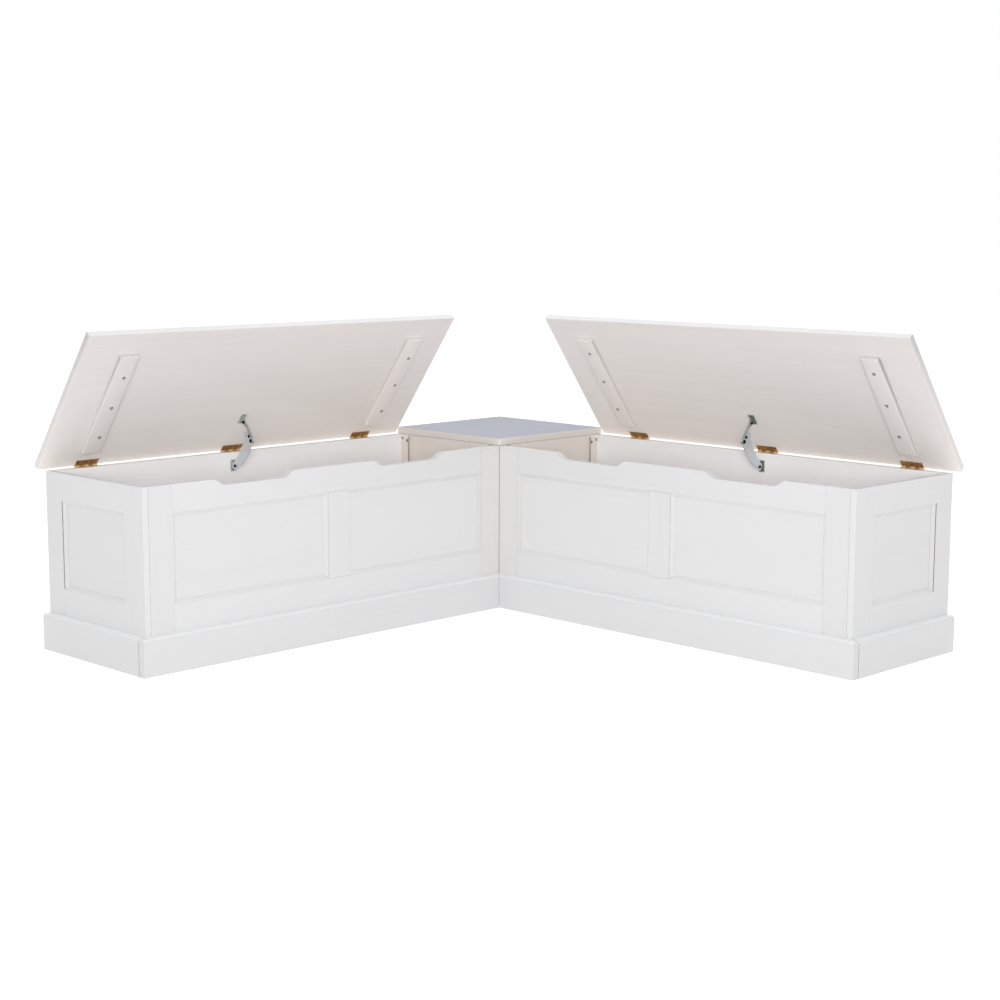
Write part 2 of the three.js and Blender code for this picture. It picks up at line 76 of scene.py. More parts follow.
class Value:
    """One socket of a node graph. Arithmetic on it adds the Math nodes that work it out."""

    def __init__(self, graph, socket):
        self.graph = graph
        self.socket = socket

    def worked(self, operation, first, second):
        return self.graph.node("ShaderNodeMath", {"operation": operation}, {0: first, 1: second})

    def __add__(self, other):
        return self.worked("ADD", self, other)

    def __radd__(self, other):
        return self.worked("ADD", other, self)

    def __sub__(self, other):
        return self.worked("SUBTRACT", self, other)

    def __rsub__(self, other):
        return self.worked("SUBTRACT", other, self)

    def __mul__(self, other):
        return self.worked("MULTIPLY", self, other)

    def __rmul__(self, other):
        return self.worked("MULTIPLY", other, self)


class Graph:
    """The nodes that feed the one shader of a material or of the world."""

    def __init__(self, owner, shader, constants):
        owner.use_nodes = True
        self.nodes = owner.node_tree.nodes
        self.links = owner.node_tree.links
        self.shader = self.nodes[shader]
        for socket, value in constants.items():
            self.shader.inputs[socket].default_value = value

    def node(self, kind, settings, inputs, output=0):
        """Adds a node of that type: its settings first, then its sockets' values or links."""
        made = self.nodes.new(kind)
        for name, value in settings.items():
            setattr(made, name, value)
        for name, value in inputs.items():
            if isinstance(value, Value):
                self.links.new(value.socket, made.inputs[name])
            else:
                made.inputs[name].default_value = value
        return Value(self, made.outputs[output])

    def laid(self, **sockets):
        """Links the shader's sockets, named in lower case with _ for each space."""
        for name, value in sockets.items():
            self.links.new(value.socket, self.shader.inputs[name.replace("_", " ").title()])

    def noise(self, place, stretch, detail=2.0, roughness=0.5):
        """A soft pattern from 0 to 1, with `stretch` waves to the metre along each axis."""
        scaled = self.node("ShaderNodeVectorMath", {"operation": "MULTIPLY"}, {0: place, 1: stretch})
        inputs = {"Vector": scaled, "Scale": 1.0, "Detail": detail, "Roughness": roughness}
        return self.node("ShaderNodeTexNoise", {}, inputs)

    def eased(self, value, low, high):
        """0 below `low`, 1 above `high`, and a smooth step between them."""
        inputs = {"Value": value, "From Min": low, "From Max": high}
        return self.node("ShaderNodeMapRange", {"interpolation_type": "SMOOTHSTEP"}, inputs)

    def mixed(self, share, first, second, clamped=True):
        settings = {"data_type": "RGBA", "clamp_factor": clamped}
        return self.node("ShaderNodeMix", settings, {0: share, 6: first, 7: second}, 2)

    def bumped(self, height, strength, distance):
        inputs = {"Height": height, "Strength": strength, "Distance": distance}
        return self.node("ShaderNodeBump", {}, inputs)


class Finish(Graph):
    """A procedural material with one Principled shader."""

    def __init__(self, name, constants):
        self.material = bpy.data.materials.new(name)
        super().__init__(self.material, "Principled BSDF", constants)


def seen(red, green, blue):
    """A colour as a screen shows it, from 0 to 255, on the shader's linear scale."""
    share = np.array([red, green, blue]) / 255
    linear = np.where(share > 0.04045, ((share + 0.055) / 1.055) ** 2.4, share / 12.92)
    return (*linear, 1.0)


# A dark brown for painted shadow in gaps and open joints, which a tone above 1 leads on to.
painted_shadow_brown = seen(92, 80, 72)


def washed(name, pale, grain, figure, roughness, sheen, closeness=1.0):
    """White-washed pine. Long streaks of `grain` show through `pale` by the share `figure`,
    with wide soft bands under fine pores, all drawn out along the board. They lie `closeness`
    times as close as in a plank with wide rings. The attribute `tone` adds painted shade and
    painted light: above 1 it darkens the timber on towards a painted shadow brown, and below 0
    it paints it paler than `pale`, as a painted highlight."""
    finish = Finish(name, {"Specular IOR Level": sheen})
    board = finish.node("ShaderNodeAttribute", {"attribute_name": "board"}, {}, 1)
    tone = finish.node("ShaderNodeAttribute", {"attribute_name": "tone"}, {}, 2)
    bands = finish.noise(board, (0.9, 26.0 * closeness, 26.0), 2.0)
    streaks = finish.noise(board, (2.4, 150.0 * closeness, 150.0), 3.0, 0.6)
    pores = finish.noise(board, (9.0, 620.0, 620.0), 2.0)
    brush = finish.noise(board, (3.5, 900.0, 900.0), 1.0)
    patches = finish.noise(board, (3.0, 5.0, 5.0), 2.0)
    shown = finish.eased(streaks, 0.42, 0.72) * 0.6 + finish.eased(bands, 0.4, 0.7) * 0.4
    thin = 0.55 + 0.9 * finish.eased(patches, 0.35, 0.7)
    share = shown * thin * figure + pores * (0.25 * figure) + tone
    share = finish.node("ShaderNodeMath", {"operation": "MINIMUM"}, {0: share, 1: 1.0})
    timber = finish.mixed(share, pale, grain, clamped=False)
    finish.laid(
        base_color=finish.mixed(tone - 1, timber, painted_shadow_brown),
        roughness=roughness + 0.14 * (streaks - 0.5) + 0.1 * (patches - 0.5),
        normal=finish.bumped(streaks * 0.6 + pores * 0.3 + brush * 0.4, 0.35, 0.25 * MM),
    )
    return finish.material


paint = washed("white_wash", seen(217, 217, 218), seen(188, 185, 183), 0.05, 0.5, 0.4)
warm_paint = washed("warm_wash", seen(218, 216.5, 214), seen(188, 184, 179), 0.05, 0.5, 0.4)
# A dark line of painted shade along the moulded upright arrises.
arris_shade = washed("arris_shade", seen(186, 182, 178), seen(150, 144, 136), 0.3, 0.6, 0.3)
# A darker line, a painted shadow, along the moulded arris of the end frames' rear stiles.
arris_deep_shade = washed("arris_deep_shade", seen(146, 142, 138), seen(116, 112, 108), 0.3, 0.6, 0.2)


SAME_POINT = 0.004 * MM
SAME_PLANE = math.radians(0.4)
SHARP = math.radians(32)


def welded(node):
    """A CAD node's loose triangles as a mesh of whole flat faces: points at the same place
    become one, and the edges inside each flat face go."""
    source = frame["nodes"][node].data
    shell = bmesh.new()
    shell.from_mesh(source)
    bmesh.ops.remove_doubles(shell, verts=shell.verts, dist=SAME_POINT)
    bmesh.ops.dissolve_limit(shell, angle_limit=SAME_PLANE, verts=shell.verts, edges=shell.edges)
    points = np.array([v.co for v in shell.verts])
    faces = [[v.index for v in f.verts] for f in shell.faces]
    shell.free()
    mesh = bpy.data.meshes.new(node)
    mesh.from_pydata(points, [], faces)
    return mesh, points


def board_axes(points):
    """The board's own axes, longest first, taken from the spread of its points."""
    spread = points.max(0) - points.min(0)
    return np.eye(3)[np.argsort(-spread)]


def face_places(mesh):
    """Each face's normal and middle, as two arrays."""
    normals = np.empty(len(mesh.polygons) * 3)
    middles = np.empty(len(mesh.polygons) * 3)
    mesh.polygons.foreach_get("normal", normals)
    mesh.polygons.foreach_get("center", middles)
    return normals.reshape(-1, 3), middles.reshape(-1, 3)


LEAST_TURN, MOST_TURN = 25, 60
UPRIGHT = 0.99
TOWARDS = 0.3


def moulded_arrises(mesh, points, side):
    """Weighs 1 each upright edge where a flat face turns down into the slope of a moulding on
    that side: its two faces lie LEAST_TURN to MOST_TURN degrees apart and bulge outwards. All
    other edges weigh 0."""
    normals, middles = face_places(mesh)
    sizes = np.empty(len(mesh.polygons), int)
    mesh.polygons.foreach_get("loop_total", sizes)
    edge_of_corner = np.empty(len(mesh.loops), int)
    mesh.loops.foreach_get("edge_index", edge_of_corner)
    ends = np.empty(len(mesh.edges) * 2, int)
    mesh.edges.foreach_get("vertices", ends)
    face_of_corner = np.repeat(np.arange(len(sizes)), sizes)
    first, second = face_of_corner[np.argsort(edge_of_corner, kind="stable")].reshape(-1, 2).T
    turn = np.degrees(np.arccos(np.clip((normals[first] * normals[second]).sum(1), -1, 1)))
    bulge = ((middles[second] - middles[first]) * normals[first]).sum(1) < 0
    run = np.diff(points[ends.reshape(-1, 2)], axis=1)[:, 0]
    upright = np.abs(run[:, 2]) > UPRIGHT * np.linalg.norm(run, axis=1)
    faces_side = np.maximum(normals[first] @ side, normals[second] @ side) > TOWARDS
    weights = (turn > LEAST_TURN) & (turn < MOST_TURN) & bulge & upright & faces_side
    weights = weights.astype(float)
    mesh.attributes.new("bevel_weight_edge", "FLOAT", "EDGE").data.foreach_set("value", weights)


def rounded(board, name, width, segments, method="ANGLE", slot=-1):
    bevel = board.modifiers.new(name, "BEVEL")
    bevel.width = width * MM
    bevel.segments = segments
    bevel.limit_method = method
    bevel.angle_limit = SHARP
    bevel.material = slot
    bevel.harden_normals = True


def stands_for(made, node):
    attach(made, frame["nodes"][node]["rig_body"])
    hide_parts(node)


def leaning(first, second):
    """The direction of a slope that looks mostly to `first`, and partly to `second`."""
    return first * 0.8 + second * 0.6


grains = np.random.default_rng(7)
GRAIN_SPREAD = 40.0
TONE_SPREAD = 0.02
END_DEPTH = 0.5 * MM
SQUARE_ON = 0.95


def finished(node, material, arris, axes=None, back=(), tones=(), fade=None, line=None):
    """Stands for a CAD board: its own faces, with every arris rounded over by `arris`. The
    attribute `board` holds each point's place along, across and through the board, from a
    start of its own so that no two boards share their grain. The attribute `tone` says how far
    the timber shows, by a small random amount for each board, and carries painted shade and
    painted light: its share on the faces that look in each direction of `tones`, and
    (point - start) . rise more for the start and the rise in `fade`. For each direction and
    length in `back`, the end that faces that way is drawn in, where a joint stands open. `line`
    holds the side, material and width of a painted shade line along the moulding's upright
    arrises."""
    mesh, points = welded(node)
    for direction, length in back:
        reach = points @ direction
        points[reach > reach.max() - END_DEPTH] -= length * MM * direction
    mesh.vertices.foreach_set("co", points.ravel())
    mesh.update()
    axes = board_axes(points) if axes is None else np.array(axes)
    place = (points - points.mean(0)) @ axes.T + grains.uniform(-GRAIN_SPREAD, GRAIN_SPREAD, 3)
    mesh.attributes.new("board", "FLOAT_VECTOR", "POINT").data.foreach_set("vector", place.ravel())

    normals, _ = face_places(mesh)
    sizes = np.empty(len(mesh.polygons), int)
    mesh.polygons.foreach_get("loop_total", sizes)
    point_of_corner = np.empty(len(mesh.loops), int)
    mesh.loops.foreach_get("vertex_index", point_of_corner)
    shown = np.full(len(sizes), grains.uniform(-TONE_SPREAD, TONE_SPREAD))
    for direction, share in tones:
        shown += share * (normals @ direction > SQUARE_ON)
    tone = np.repeat(shown, sizes)
    if fade is not None:
        tone += ((points - fade[0]) @ fade[1])[point_of_corner]
    mesh.attributes.new("tone", "FLOAT", "CORNER").data.foreach_set("value", tone)

    if line is not None:
        moulded_arrises(mesh, points, line[0])
    mesh.shade_smooth()
    mesh.set_sharp_from_angle(angle=SHARP)
    mesh.materials.append(material)
    board = bpy.data.objects.new(f"{node}_finished", mesh)
    bpy.context.scene.collection.objects.link(board)
    if line is not None:
        mesh.materials.append(line[1])
        rounded(board, "line", line[2], 1, "WEIGHT", 1)
    rounded(board, "arris", arris, 3)
    stands_for(board, node)
    return board


frame_arris, inner_stile_arris = 0.6, 0.4
outer_joint, inner_joint = 0.7, 0.8
mullion_line, inner_stile_line = 0.6, 0.3

for wing in WINGS:
    out, ahead = OUT_ALONG[wing], TO_FRONT[wing]
    near_slope, far_slope = leaning(ahead, out), leaning(ahead, -out)
    node = f"{wing}_front_outer_stile"
    back = [(out, outer_joint)]
    # Painted light and shade: slopes that face the front lamp are painted darker and those that face
    # away paler, so that they read alike, and the outer stile's face a little darker.
    tones = [(far_slope, -0.6), (ahead, 0.1)]
    finished(node, paint, frame_arris, back=back, tones=tones)
    finished(f"{wing}_front_top_rail", paint, frame_arris)
    finished(f"{wing}_front_bottom_rail", paint, frame_arris)
    node = f"{wing}_front_mullion"
    tones = [(near_slope, 0.33), (far_slope, -0.9)]
    line = (out, arris_shade, mullion_line)
    finished(node, paint, frame_arris, tones=tones, line=line)
    node = f"{wing}_front_inner_stile"
    back = [(-out, inner_joint)]
    tones = [(near_slope, 0.45), (far_slope, -0.9)]
    line = (out, arris_shade, inner_stile_line)
    finished(node, warm_paint, inner_stile_arris, back=back, tones=tones, line=line)

# The panels: one long board of glued pine behind each front, held loose in a groove so that
# it can shrink and swell, and a shorter one in each end. The long ones are painted paler
# towards the inner corner, a painted light against the shade that gathers there, and a
# little darker towards the outer end.

panel_paint = washed("panel_wash", seen(217, 216.7, 217.6), seen(188, 187, 187), 0.05, 0.5, 0.4)

panel_arris = 0.5
panel_fade_start, panel_fade_rate = 0.85, 0.14

for wing in WINGS:
    out = OUT_ALONG[wing]
    fade = (INNER_CORNER * MM + out * panel_fade_start, out * panel_fade_rate)
    finished(f"{wing}_front_panel", panel_paint, panel_arris, fade=fade)
    finished(f"{wing}_end_panel", panel_paint, panel_arris)

# The outer ends: the same frame as the front in thinner stock, standing between the back and
# the front's outer stile.

rear_stile_line = 1.3

for wing in WINGS:
    out, ahead = OUT_ALONG[wing], TO_FRONT[wing]
    node = f"{wing}_end_rear_stile"
    # Painted shade: the moulded slopes on the end frames' stiles are painted a little darker.
    tones = [(leaning(out, ahead), 0.4)]
    line = (ahead, arris_deep_shade, rear_stile_line)
    finished(node, paint, frame_arris, tones=tones, line=line)
    tones = [(leaning(out, -ahead), 0.4)]
    finished(f"{wing}_end_front_stile", paint, frame_arris, tones=tones)
    finished(f"{wing}_end_top_rail", paint, frame_arris)
    finished(f"{wing}_end_bottom_rail", paint, frame_arris)

# The plinth: a skirting board with a rounded top edge, glued and pinned over the foot of the
# fronts and ends. The front board covers the end one's foremost end, at an open joint.

plinth_paint = washed("plinth_wash", seen(215, 215, 216), seen(187, 186, 187), 0.06, 0.46, 0.45)

UP = np.array([0, 0, 1])
plinth_arris = 0.12
plinth_joint = 1.2

for wing in WINGS:
    out, ahead = OUT_ALONG[wing], TO_FRONT[wing]
    node = f"{wing}_front_plinth"
    # Painted highlight: the rounded top edge is painted paler where it looks up.
    tones = [(UP, -1.2), (leaning(UP, ahead), -0.6)]
    finished(node, plinth_paint, plinth_arris, tones=tones)
    node = f"{wing}_end_plinth"
    back = [(ahead, plinth_joint)]
    # The end board's foremost end, inside the open joint, goes dark, a painted shadow, and its outer
    # face a little paler.
    tones = [(UP, -1.2), (leaning(UP, out), -0.6), (ahead, 1.7), (out, -0.1)]
    finished(node, plinth_paint, plinth_arris, back=back, tones=tones)

# The inside of the carcass: backs, dividers with their cleats, floors and the post behind the
# inner corner. They are pine boards with one thin coat, so the warm wood shows through more,
# and their paint is paler than the outside's, a painted light against the shade inside.

inside_paint = washed("inside_wash", seen(250, 249, 249), seen(212, 196, 180), 0.08, 0.62, 0.3)

back_arris, divider_arris, floor_arris, post_arris = 0.8, 0.3, 0.6, 0.7

for wing in WINGS:
    # Painted shade: the backs' top edges are painted darker, the dividers' faces towards the outer
    # end darker, and the faces of divider and cleat that look to the front go dark, a painted
    # shadow.
    tones = [(UP, 0.5)]
    finished(f"{wing}_back_panel", inside_paint, back_arris, tones=tones)
    tones = [(OUT_ALONG[wing], 0.5), (TO_FRONT[wing], 1.4)]
    finished(f"{wing}_divider", inside_paint, divider_arris, tones=tones)
    finished(f"{wing}_floor_panel", inside_paint, floor_arris)
# The post's faces that show through the open joint at the inner corner go dark, a painted shadow.
tones = [(TO_FRONT[wing], 1.6) for wing in WINGS]
finished("corner_post", inside_paint, post_arris, tones=tones)

# The corner seat: a square top screwed down over the corner. Its top is painted a darker
# blue-grey, a painted shade and painted reflection of a dim surround seen at a low angle,
# and its edges and their rounding a warm white.

seat_paint = washed("seat_wash", seen(185, 188, 199), seen(230, 223, 216), 0.08, 0.7, 0.1)

seat_arris = 1.6
tones = [(TO_FRONT[wing] * side, 0.9) for side in (1, -1) for wing in WINGS]
tones += [((TO_FRONT[wing] + UP) / math.sqrt(2), 0.6) for wing in WINGS]
finished("corner_top", seat_paint, seat_arris, tones=tones)

# The lids: boards of glued pine that stand open on their hinges, shown from underneath, where
# the wash is thin and the long streaks of the grain show best. The underside is painted paler
# than the outside and darker up towards the front edge and the outer end, painted light and
# shade that even out how the light falls there. Their tops match the seat's painted shade.

lid_paint = washed("lid_wash", seen(250, 244, 239), seen(209, 205, 204), 0.09, 0.6, 0.3, 1.7)

hinge = next(joint for joint in frame["joints"] if joint["name"] == "left_lid_hinge")
AXIS = (np.array(hinge["pos_m"]) / MM - INNER_CORNER) * (1, 0, 1)
LID_OPEN = math.radians(-hinge["range_deg"][0])
slope = np.array([math.cos(LID_OPEN), 0, math.sin(LID_OPEN)])
outward = np.array([math.sin(LID_OPEN), 0, -math.cos(LID_OPEN)])


def mirrored(vectors, wing):
    """The right wing is the left one seen in a mirror that stands on the bench's diagonal."""
    return vectors if wing == "left" else vectors[..., [1, 0, 2]] * (-1, -1, 1)


def placed(points, wing):
    """Points of a wing, in millimetres from the inner corner, as metres in the model's frame."""
    return (mirrored(points, wing) + INNER_CORNER) * MM


def under_lid(along, run, below):
    """A point under an open lid: so far up its slope from the hinge axis, at `run` along the
    wing, and so far out from the plane through the axis."""
    return AXIS + along * slope + np.array([0, run, 0]) + below * outward


lid_edge = washed("lid_edge_wash", seen(238, 238, 239), seen(206, 202, 198), 0.08, 0.6, 0.3)
# The lids' tops carry the seat top's blue-grey, a painted shade and painted reflection.
lid_top = washed("lid_top_wash", seen(187, 190, 201), seen(176, 179, 189), 0.15, 0.7, 0.1, 1.7)

lid_fade_run = -400.0
fade_up, fade_out = 1.4, 0.4
lid_fade = {
    wing: (
        placed(under_lid(0.0, lid_fade_run, 0.0), wing),
        mirrored(slope, wing) * fade_up + OUT_ALONG[wing] * fade_out,
    )
    for wing in WINGS
}

LID_BACK, UNDERSIDE = 4.0, -0.5
FRONT_FACE, OUTER_FACE = 1, 2
lid_arris = 0.5
planed, planed_share, planed_off = 2.6 * MM, 0.7, 1.2 * MM

for wing in WINGS:
    out, rise, facing = OUT_ALONG[wing], mirrored(slope, wing), mirrored(outward, wing)
    axes = (out, rise, np.cross(out, rise))
    # Painted shade: the outer end face is painted a little darker, and the front edge is painted
    # paler, which takes back the fade's painted shade there.
    tones = [(out, 0.3), (rise, -0.6)]
    node = f"{wing}_lid"
    fade = lid_fade[wing]
    board = finished(node, lid_paint, lid_arris, axes, tones=tones, fade=fade)
    board.data.materials.append(lid_edge)
    board.data.materials.append(lid_top)
    normals, _ = face_places(board.data)
    looks = [normals @ rise > SQUARE_ON, normals @ facing < -SQUARE_ON]
    kinds = np.select(looks, [FRONT_FACE, OUTER_FACE], 0)
    board.data.polygons.foreach_set("material_index", kinds)

    # The lower arris at the back is planed nearly square, close to the knuckles.
    points = np.empty(len(board.data.vertices) * 3)
    board.data.vertices.foreach_get("co", points)
    points = points.reshape(-1, 3)
    corner = placed(under_lid(LID_BACK, 0.0, UNDERSIDE), wing)
    inwards, deep = (points - corner) @ rise, (points - corner) @ facing
    near = (inwards < planed) & (deep > -planed)
    points[near] -= planed_share * (inwards[near, None] * rise + deep[near, None] * facing)
    points[near] -= planed_off * rise
    board.data.vertices.foreach_set("co", points.ravel())

# The battens: two under each lid, set back from its edges and screwed on to hold it flat.

batten_sides = {"left": 0.5, "right": 0.75}

for wing in WINGS:
    out, rise = OUT_ALONG[wing], mirrored(slope, wing)
    axes = (rise, out, np.cross(out, rise))
    # Painted shade: each batten's face towards the outer end is painted darker for the dark line
    # along its side, and the battens take the lid's painted fade.
    tones = [(out, batten_sides[wing])]
    for place in ("inner", "outer"):
        node = f"{wing}_lid_{place}_batten"
        fade = lid_fade[wing]
        finished(node, lid_paint, lid_arris, axes, tones=tones, fade=fade)

# The screws: countersunk, with a cross recess, and darkened with age. Three go through each
# batten, and two hold each cleat.


def turned(profile, place, axis, sides, dent=None):
    """A turned form. The profile gives radius and height pairs. Ring i, step j stands at
    place + radius_i * (cos t_j * side + sin t_j * other) + height_i * axis, with `side` and
    `other` square to the axis, and `dent` takes a depth off the height."""
    axis = np.array(axis, float)
    helper = np.eye(3)[np.argmin(np.abs(axis))]
    side = np.cross(axis, helper)
    side /= np.linalg.norm(side)
    other = np.cross(axis, side)
    radius, height = np.array(profile, float).T
    t = np.arange(sides) * (2 * np.pi / sides)
    x, y = radius[:, None] * np.cos(t), radius[:, None] * np.sin(t)
    z = np.broadcast_to(height[:, None], x.shape)
    if dent is not None:
        z = z - dent(x, y)
    points = place + x[..., None] * side + y[..., None] * other + z[..., None] * axis
    i, j = np.meshgrid(np.arange(len(radius) - 1), np.arange(sides), indexing="ij")
    k = (j + 1) % sides
    faces = np.stack([i * sides + j, i * sides + k, (i + 1) * sides + k, (i + 1) * sides + j], -1)
    return points.reshape(-1, 3), faces.reshape(-1, 4)


HEADS_SHARP = math.radians(40)


def gathered(name, parts, wing, body, material):
    """Several forms as one piece on one body. Points that meet are merged, which closes the
    seams and poles, and the faces are turned outwards, since a mirror turns them inwards."""
    starts = np.cumsum([0] + [len(points) for points, _ in parts[:-1]])
    points = placed(np.concatenate([points for points, _ in parts]), wing)
    faces = np.concatenate([faces + start for (_, faces), start in zip(parts, starts)])
    mesh = bpy.data.meshes.new(name)
    mesh.from_pydata(points, [], faces.tolist())
    shell = bmesh.new()
    shell.from_mesh(mesh)
    bmesh.ops.remove_doubles(shell, verts=shell.verts, dist=SAME_POINT)
    bmesh.ops.recalc_face_normals(shell, faces=shell.faces)
    shell.to_mesh(mesh)
    shell.free()
    mesh.shade_smooth()
    mesh.set_sharp_from_angle(angle=HEADS_SHARP)
    mesh.materials.append(material)
    made = bpy.data.objects.new(name, mesh)
    bpy.context.scene.collection.objects.link(made)
    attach(made, body)


screw_rings, screw_sides = 12, 36
dome_share, dome_fall_share, rim_rise_share = 0.92, 0.5, 0.2
arm_share, arm_flank_share = 0.17, 0.07
reach_share, reach_end_share = 0.66, 0.12
floor_rise, floor_out_share = 0.34, 1.2
shank_share = 0.5
rim_depth, shank_depth = 0.4, 2.4


def screw(place, axis, radius, proud=0.25):
    """A countersunk screw head: a low dome with a tapered cross recess, over a cone that is
    sunk in the wood. Across an arm, and at its end, the recess comes out along a short slope.
    Its floor rises from the middle, and would come out at `floor_out_share` of the radius."""

    def cross(x, y):
        aside = np.minimum(np.abs(x), np.abs(y)) / radius
        reach = np.maximum(np.abs(x), np.abs(y)) / radius
        across = np.clip((arm_share - aside) / arm_flank_share, 0, 1)
        along = np.clip((reach_share - reach) / reach_end_share, 0, 1)
        return across * along * floor_rise * radius * (floor_out_share - reach)

    shares = np.linspace(0, dome_share, screw_rings)
    top = [(share * radius, proud * (1 - dome_fall_share * share**2)) for share in shares]
    rim = [(radius, proud * rim_rise_share), (radius, -rim_depth)]
    shank = [(shank_share * radius, -shank_depth), (0, -shank_depth)]
    return turned(top + rim + shank, place, axis, screw_sides, cross)


def metal(name, bright, dull, roughness, wear):
    """Metal with a mottled skin: patches of `dull` grow over `bright` by the share `wear`."""
    finish = Finish(name, {"Metallic": 1.0})
    place = finish.node("ShaderNodeTexCoord", {}, {}, 3)
    clouds = finish.noise(place, (160.0, 160.0, 160.0), 3.0, 0.6)
    specks = finish.noise(place, (1400.0, 1400.0, 1400.0), 2.0)
    share = finish.eased(clouds * 0.75 + specks * 0.25, 0.62 - wear * 0.5, 0.78 - wear * 0.3)
    finish.laid(
        base_color=finish.mixed(share, bright, dull),
        roughness=roughness + 0.2 * share + 0.12 * (specks - 0.5),
        normal=finish.bumped(clouds * 0.5 + specks * 0.5, 0.2, 0.1 * MM),
    )
    return finish.material


dark_screws = metal("dark_screws", seen(64, 59, 55), seen(30, 28, 26), 0.5, 0.8)

batten_faces = 10.8
batten_runs = {"left": (-115.0, -1013.0), "right": (-121.0, -1016.0)}
batten_screws = {"left": (100.0, 192.0, 285.0), "right": (109.0, 206.0, 303.0)}
batten_screw, cleat_screw = 4.2, 3.6
cleat_face = -6.0
cleat_depths = (-375.0, -356.0)
cleat_screws = {"left": (420.0, 414.5), "right": (417.0, 412.0)}

for wing in WINGS:
    parts = [
        screw(under_lid(along, run, batten_faces), outward, batten_screw)
        for run in batten_runs[wing]
        for along in batten_screws[wing]
    ]
    gathered(f"{wing}_batten_screws", parts, wing, f"{wing}_lid", dark_screws)
    parts = [
        screw(np.array([depth, cleat_face, height]), (0, -1, 0), cleat_screw)
        for depth, height in zip(cleat_depths, cleat_screws[wing])
    ]
    gathered(f"{wing}_cleat_screws", parts, wing, "carcass", dark_screws)

# The hinges: pressed brass butts, one leaf let into the top edge of the back and one into the
# lid, with five knuckles on a pin behind. Each leaf has three countersunk screws.

old_brass = metal("old_brass", seen(238, 212, 166), seen(200, 166, 118), 0.42, 0.3)
# A darker copy of the brass for the lid leaves and their screws, a painted shade for the underside
# of the open lid.
shaded_brass = metal("shaded_brass", seen(189, 158, 120), seen(135, 108, 76), 0.46, 0.4)

hinge_places = {"inner": -140.0, "middle": -575.0, "outer": -1010.0}
leaf_middle, leaf_face = 12.5, -0.5
leaf_screw, leaf_screw_rise = 2.4, 0.12
leaf_screw_steps = (-22.0, 0.0, 22.0)
leaf_arris = 0.2


def dressed(node, material, arris):
    """Stands for a small CAD piece of metal: its own faces with the edges just broken."""
    mesh, _ = welded(node)
    mesh.shade_smooth()
    mesh.set_sharp_from_angle(angle=SHARP)
    mesh.materials.append(material)
    made = bpy.data.objects.new(f"{node}_dressed", mesh)
    bpy.context.scene.collection.objects.link(made)
    rounded(made, "edge", arris, 2)
    stands_for(made, node)


for wing in WINGS:
    on_back, on_lid = [], []
    for name, run in hinge_places.items():
        dressed(f"{wing}_{name}_hinge_back_leaf", old_brass, leaf_arris)
        dressed(f"{wing}_{name}_hinge_lid_leaf", shaded_brass, leaf_arris)
        for step in leaf_screw_steps:
            place = AXIS + (leaf_middle, run + step, leaf_face)
            on_back.append(screw(place, UP, leaf_screw, leaf_screw_rise))
            place = under_lid(leaf_middle, run + step, leaf_face)
            on_lid.append(screw(place, outward, leaf_screw, leaf_screw_rise))
    gathered(f"{wing}_hinge_back_screws", on_back, wing, "carcass", old_brass)
    gathered(f"{wing}_hinge_lid_screws", on_lid, wing, f"{wing}_lid", shaded_brass)

# The stays: zinc-plated plates that fold as the lid comes down, a broad arm on the back and a
# narrow one on the lid, riveted to angle brackets. Each bracket has two screws.

zinc = metal("zinc", seen(216, 222, 226), seen(206, 212, 217), 0.42, 0.2)
worn_zinc = metal("worn_zinc", seen(190, 194, 192), seen(168, 172, 168), 0.45, 0.4)
pale_steel = metal("pale_steel", seen(214, 216, 214), seen(196, 198, 196), 0.5, 0.3)
dark_steel = metal("dark_steel", seen(172, 176, 170), seen(132, 138, 130), 0.45, 0.4)
dark_rivets = metal("dark_rivets", seen(70, 68, 68), seen(34, 33, 34), 0.42, 0.6)

stay_places = {"left": -591.0, "right": -579.0}
stay_steels = {"left": pale_steel, "right": dark_steel}
bracket_arris, arm_arris = 0.3, 0.35
wall_pivot, elbow, stud = (-365.0, -2.7, 396.0), (-298.02, -2.3, 466.16), (-305.21, -2.3, 477.17)
wall_plate = (-378.4, 3.4, 396.0)
lid_pivot, lid_plate = (110.0, -0.3, 13.7), (110.0, 5.8, 1.4)
rivet, elbow_rivet = 4.1, 5.0
rivet_rise, elbow_rise, stud_rise = 0.9, 1.2, 1.0
bracket_screw = 2.4
bracket_screw_steps = (-10.6, 10.6)
rivet_rings, rivet_sides = 8, 28
rivet_skirt = 1.1


def dome(place, axis, radius, rise):
    """A rivet's set head: a shallow dome, r = radius * sin t and h = rise * cos t, over a
    straight skirt."""
    t = np.linspace(0, np.pi / 2, rivet_rings)
    profile = np.stack([radius * np.sin(t), rise * np.cos(t)], -1).tolist()
    skirt = [(radius, -rivet_skirt), (0, -rivet_skirt)]
    return turned(profile + skirt, place, axis, rivet_sides)


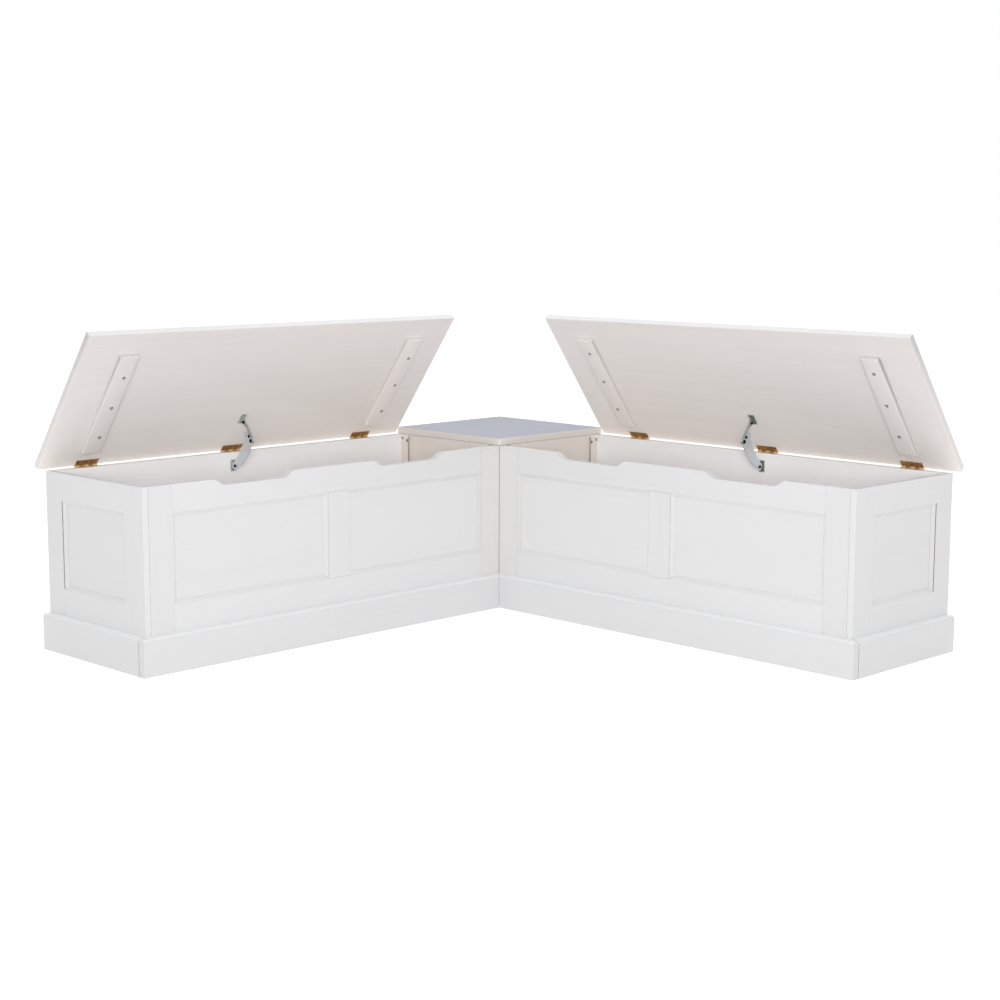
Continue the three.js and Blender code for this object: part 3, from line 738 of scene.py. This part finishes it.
for wing in WINGS:
    run = stay_places[wing]
    here = np.array([0.0, run, 0.0])
    near = np.array([0, -1, 0])
    dressed(f"{wing}_stay_wall_bracket", stay_steels[wing], bracket_arris)
    dressed(f"{wing}_stay_lid_bracket", stay_steels[wing], bracket_arris)
    dressed(f"{wing}_stay_lower_arm", zinc, arm_arris)
    dressed(f"{wing}_stay_upper_arm", worn_zinc, arm_arris)
    parts = [dome(here + wall_pivot, near, rivet, rivet_rise)]
    parts += [
        screw(here + wall_plate + (0.0, 0.0, step), (1, 0, 0), bracket_screw)
        for step in bracket_screw_steps
    ]
    gathered(f"{wing}_stay_wall_fixings", parts, wing, "carcass", dark_rivets)
    along, aside, below = lid_pivot
    parts = [dome(under_lid(along, run + aside, below), near, rivet, rivet_rise)]
    along, aside, below = lid_plate
    parts += [
        screw(under_lid(along + step, run + aside, below), outward, bracket_screw)
        for step in bracket_screw_steps
    ]
    gathered(f"{wing}_stay_lid_fixings", parts, wing, f"{wing}_lid", dark_rivets)
    parts = [
        dome(here + elbow, near, elbow_rivet, elbow_rise),
        dome(here + stud, near, rivet, stud_rise),
    ]
    gathered(f"{wing}_stay_rivets", parts, wing, f"{wing}_stay_lower", dark_rivets)

# A plain pale floor that goes on as a white ground, soft light from all round, and a strong
# light from where the photograph was taken, with weaker ones from behind and above.

FLOOR_HALF = 12.0
FLOOR_DROP = 0.5 * MM

ground = bpy.data.meshes.new("ground")
corners = np.array([[-1, -1, 0], [1, -1, 0], [1, 1, 0], [-1, 1, 0]]) * FLOOR_HALF
ground.from_pydata(corners - (0, 0, FLOOR_DROP), [], [(0, 1, 2, 3)])
floor = bpy.data.objects.new("ground", ground)
bpy.context.scene.collection.objects.link(floor)

white_floor = Finish("white_floor", {"Roughness": 0.9, "Specular IOR Level": 0.1})
by_camera = white_floor.node("ShaderNodeLightPath", {}, {}, 0)
white_floor.laid(
    base_color=white_floor.mixed(by_camera, (0.8, 0.8, 0.8, 1), (0.35, 0.35, 0.35, 1)),
    emission_color=white_floor.mixed(by_camera, (0.2, 0.2, 0.2, 1), (0.85, 0.85, 0.85, 1)),
)
white_floor.shader.inputs["Emission Strength"].default_value = 1.0
ground.materials.append(white_floor.material)

AMBIENT = 0.58

world = bpy.data.worlds.new("studio")
bpy.context.scene.world = world
studio = Graph(world, "Background", {"Color": (1, 1, 1, 1)})
plain = sum(
    studio.node("ShaderNodeLightPath", {}, {}, f"Is {ray} Ray")
    for ray in ("Camera", "Glossy", "Transmission")
)
studio.laid(strength=AMBIENT + (1 - AMBIENT) * plain)


def lamp(kind, name, place, aim, power, **settings):
    """A lamp of that kind at a place, turned to the point that it aims at."""
    light = bpy.data.lights.new(name, kind)
    light.energy = power
    for setting, value in settings.items():
        setattr(light, setting, value)
    stand = bpy.data.objects.new(name, light)
    stand.location = place
    stand.rotation_euler = (Vector(aim) - Vector(place)).to_track_quat("-Z", "Y").to_euler()
    bpy.context.scene.collection.objects.link(stand)


BEHIND_CAMERA, BENCH_MIDDLE = (4.2, -4.2, 1.5), (-0.1, 0.1, 0.4)
BEHIND_BENCH, OVER_BENCH, ORIGIN = (-1.0, 1.0, 1.6), (0.2, -0.2, 1.0), (0, 0, 0)
front_power, back_power, top_power = 175.0, 0.7, 0.3
front_size = 1.6
back_spread, top_spread = math.radians(40), math.radians(60)

lamp("AREA", "front_lamp", BEHIND_CAMERA, BENCH_MIDDLE, front_power, size=front_size)
lamp("SUN", "back_sun", BEHIND_BENCH, ORIGIN, back_power, angle=back_spread)
lamp("SUN", "top_sun", OVER_BENCH, ORIGIN, top_power, angle=top_spread)

# The camera stands where the photograph was taken from: on the bench's diagonal, about 1 m
# up and 4.6 m from the bench's middle, looking slightly down.

EYE = (3.1688, -3.1688, 1.0333)
TURN = math.radians(45) - 0.0004
TILT = math.radians(90 - 8.514)
ROLL = 0.0027
FOCAL_LENGTH, SENSOR_WIDTH = 68.53, 36.0

lens = bpy.data.cameras.new("camera")
lens.lens = FOCAL_LENGTH
lens.sensor_width = SENSOR_WIDTH
camera = bpy.data.objects.new("camera", lens)
bpy.context.scene.collection.objects.link(camera)
camera.matrix_world = (
    Matrix.Translation(EYE)
    @ Matrix.Rotation(TURN, 4, "Z")
    @ Matrix.Rotation(TILT, 4, "X")
    @ Matrix.Rotation(ROLL, 4, "Z")
)
bpy.context.scene.camera = camera
bpy.context.scene.view_settings.view_transform = "Standard"
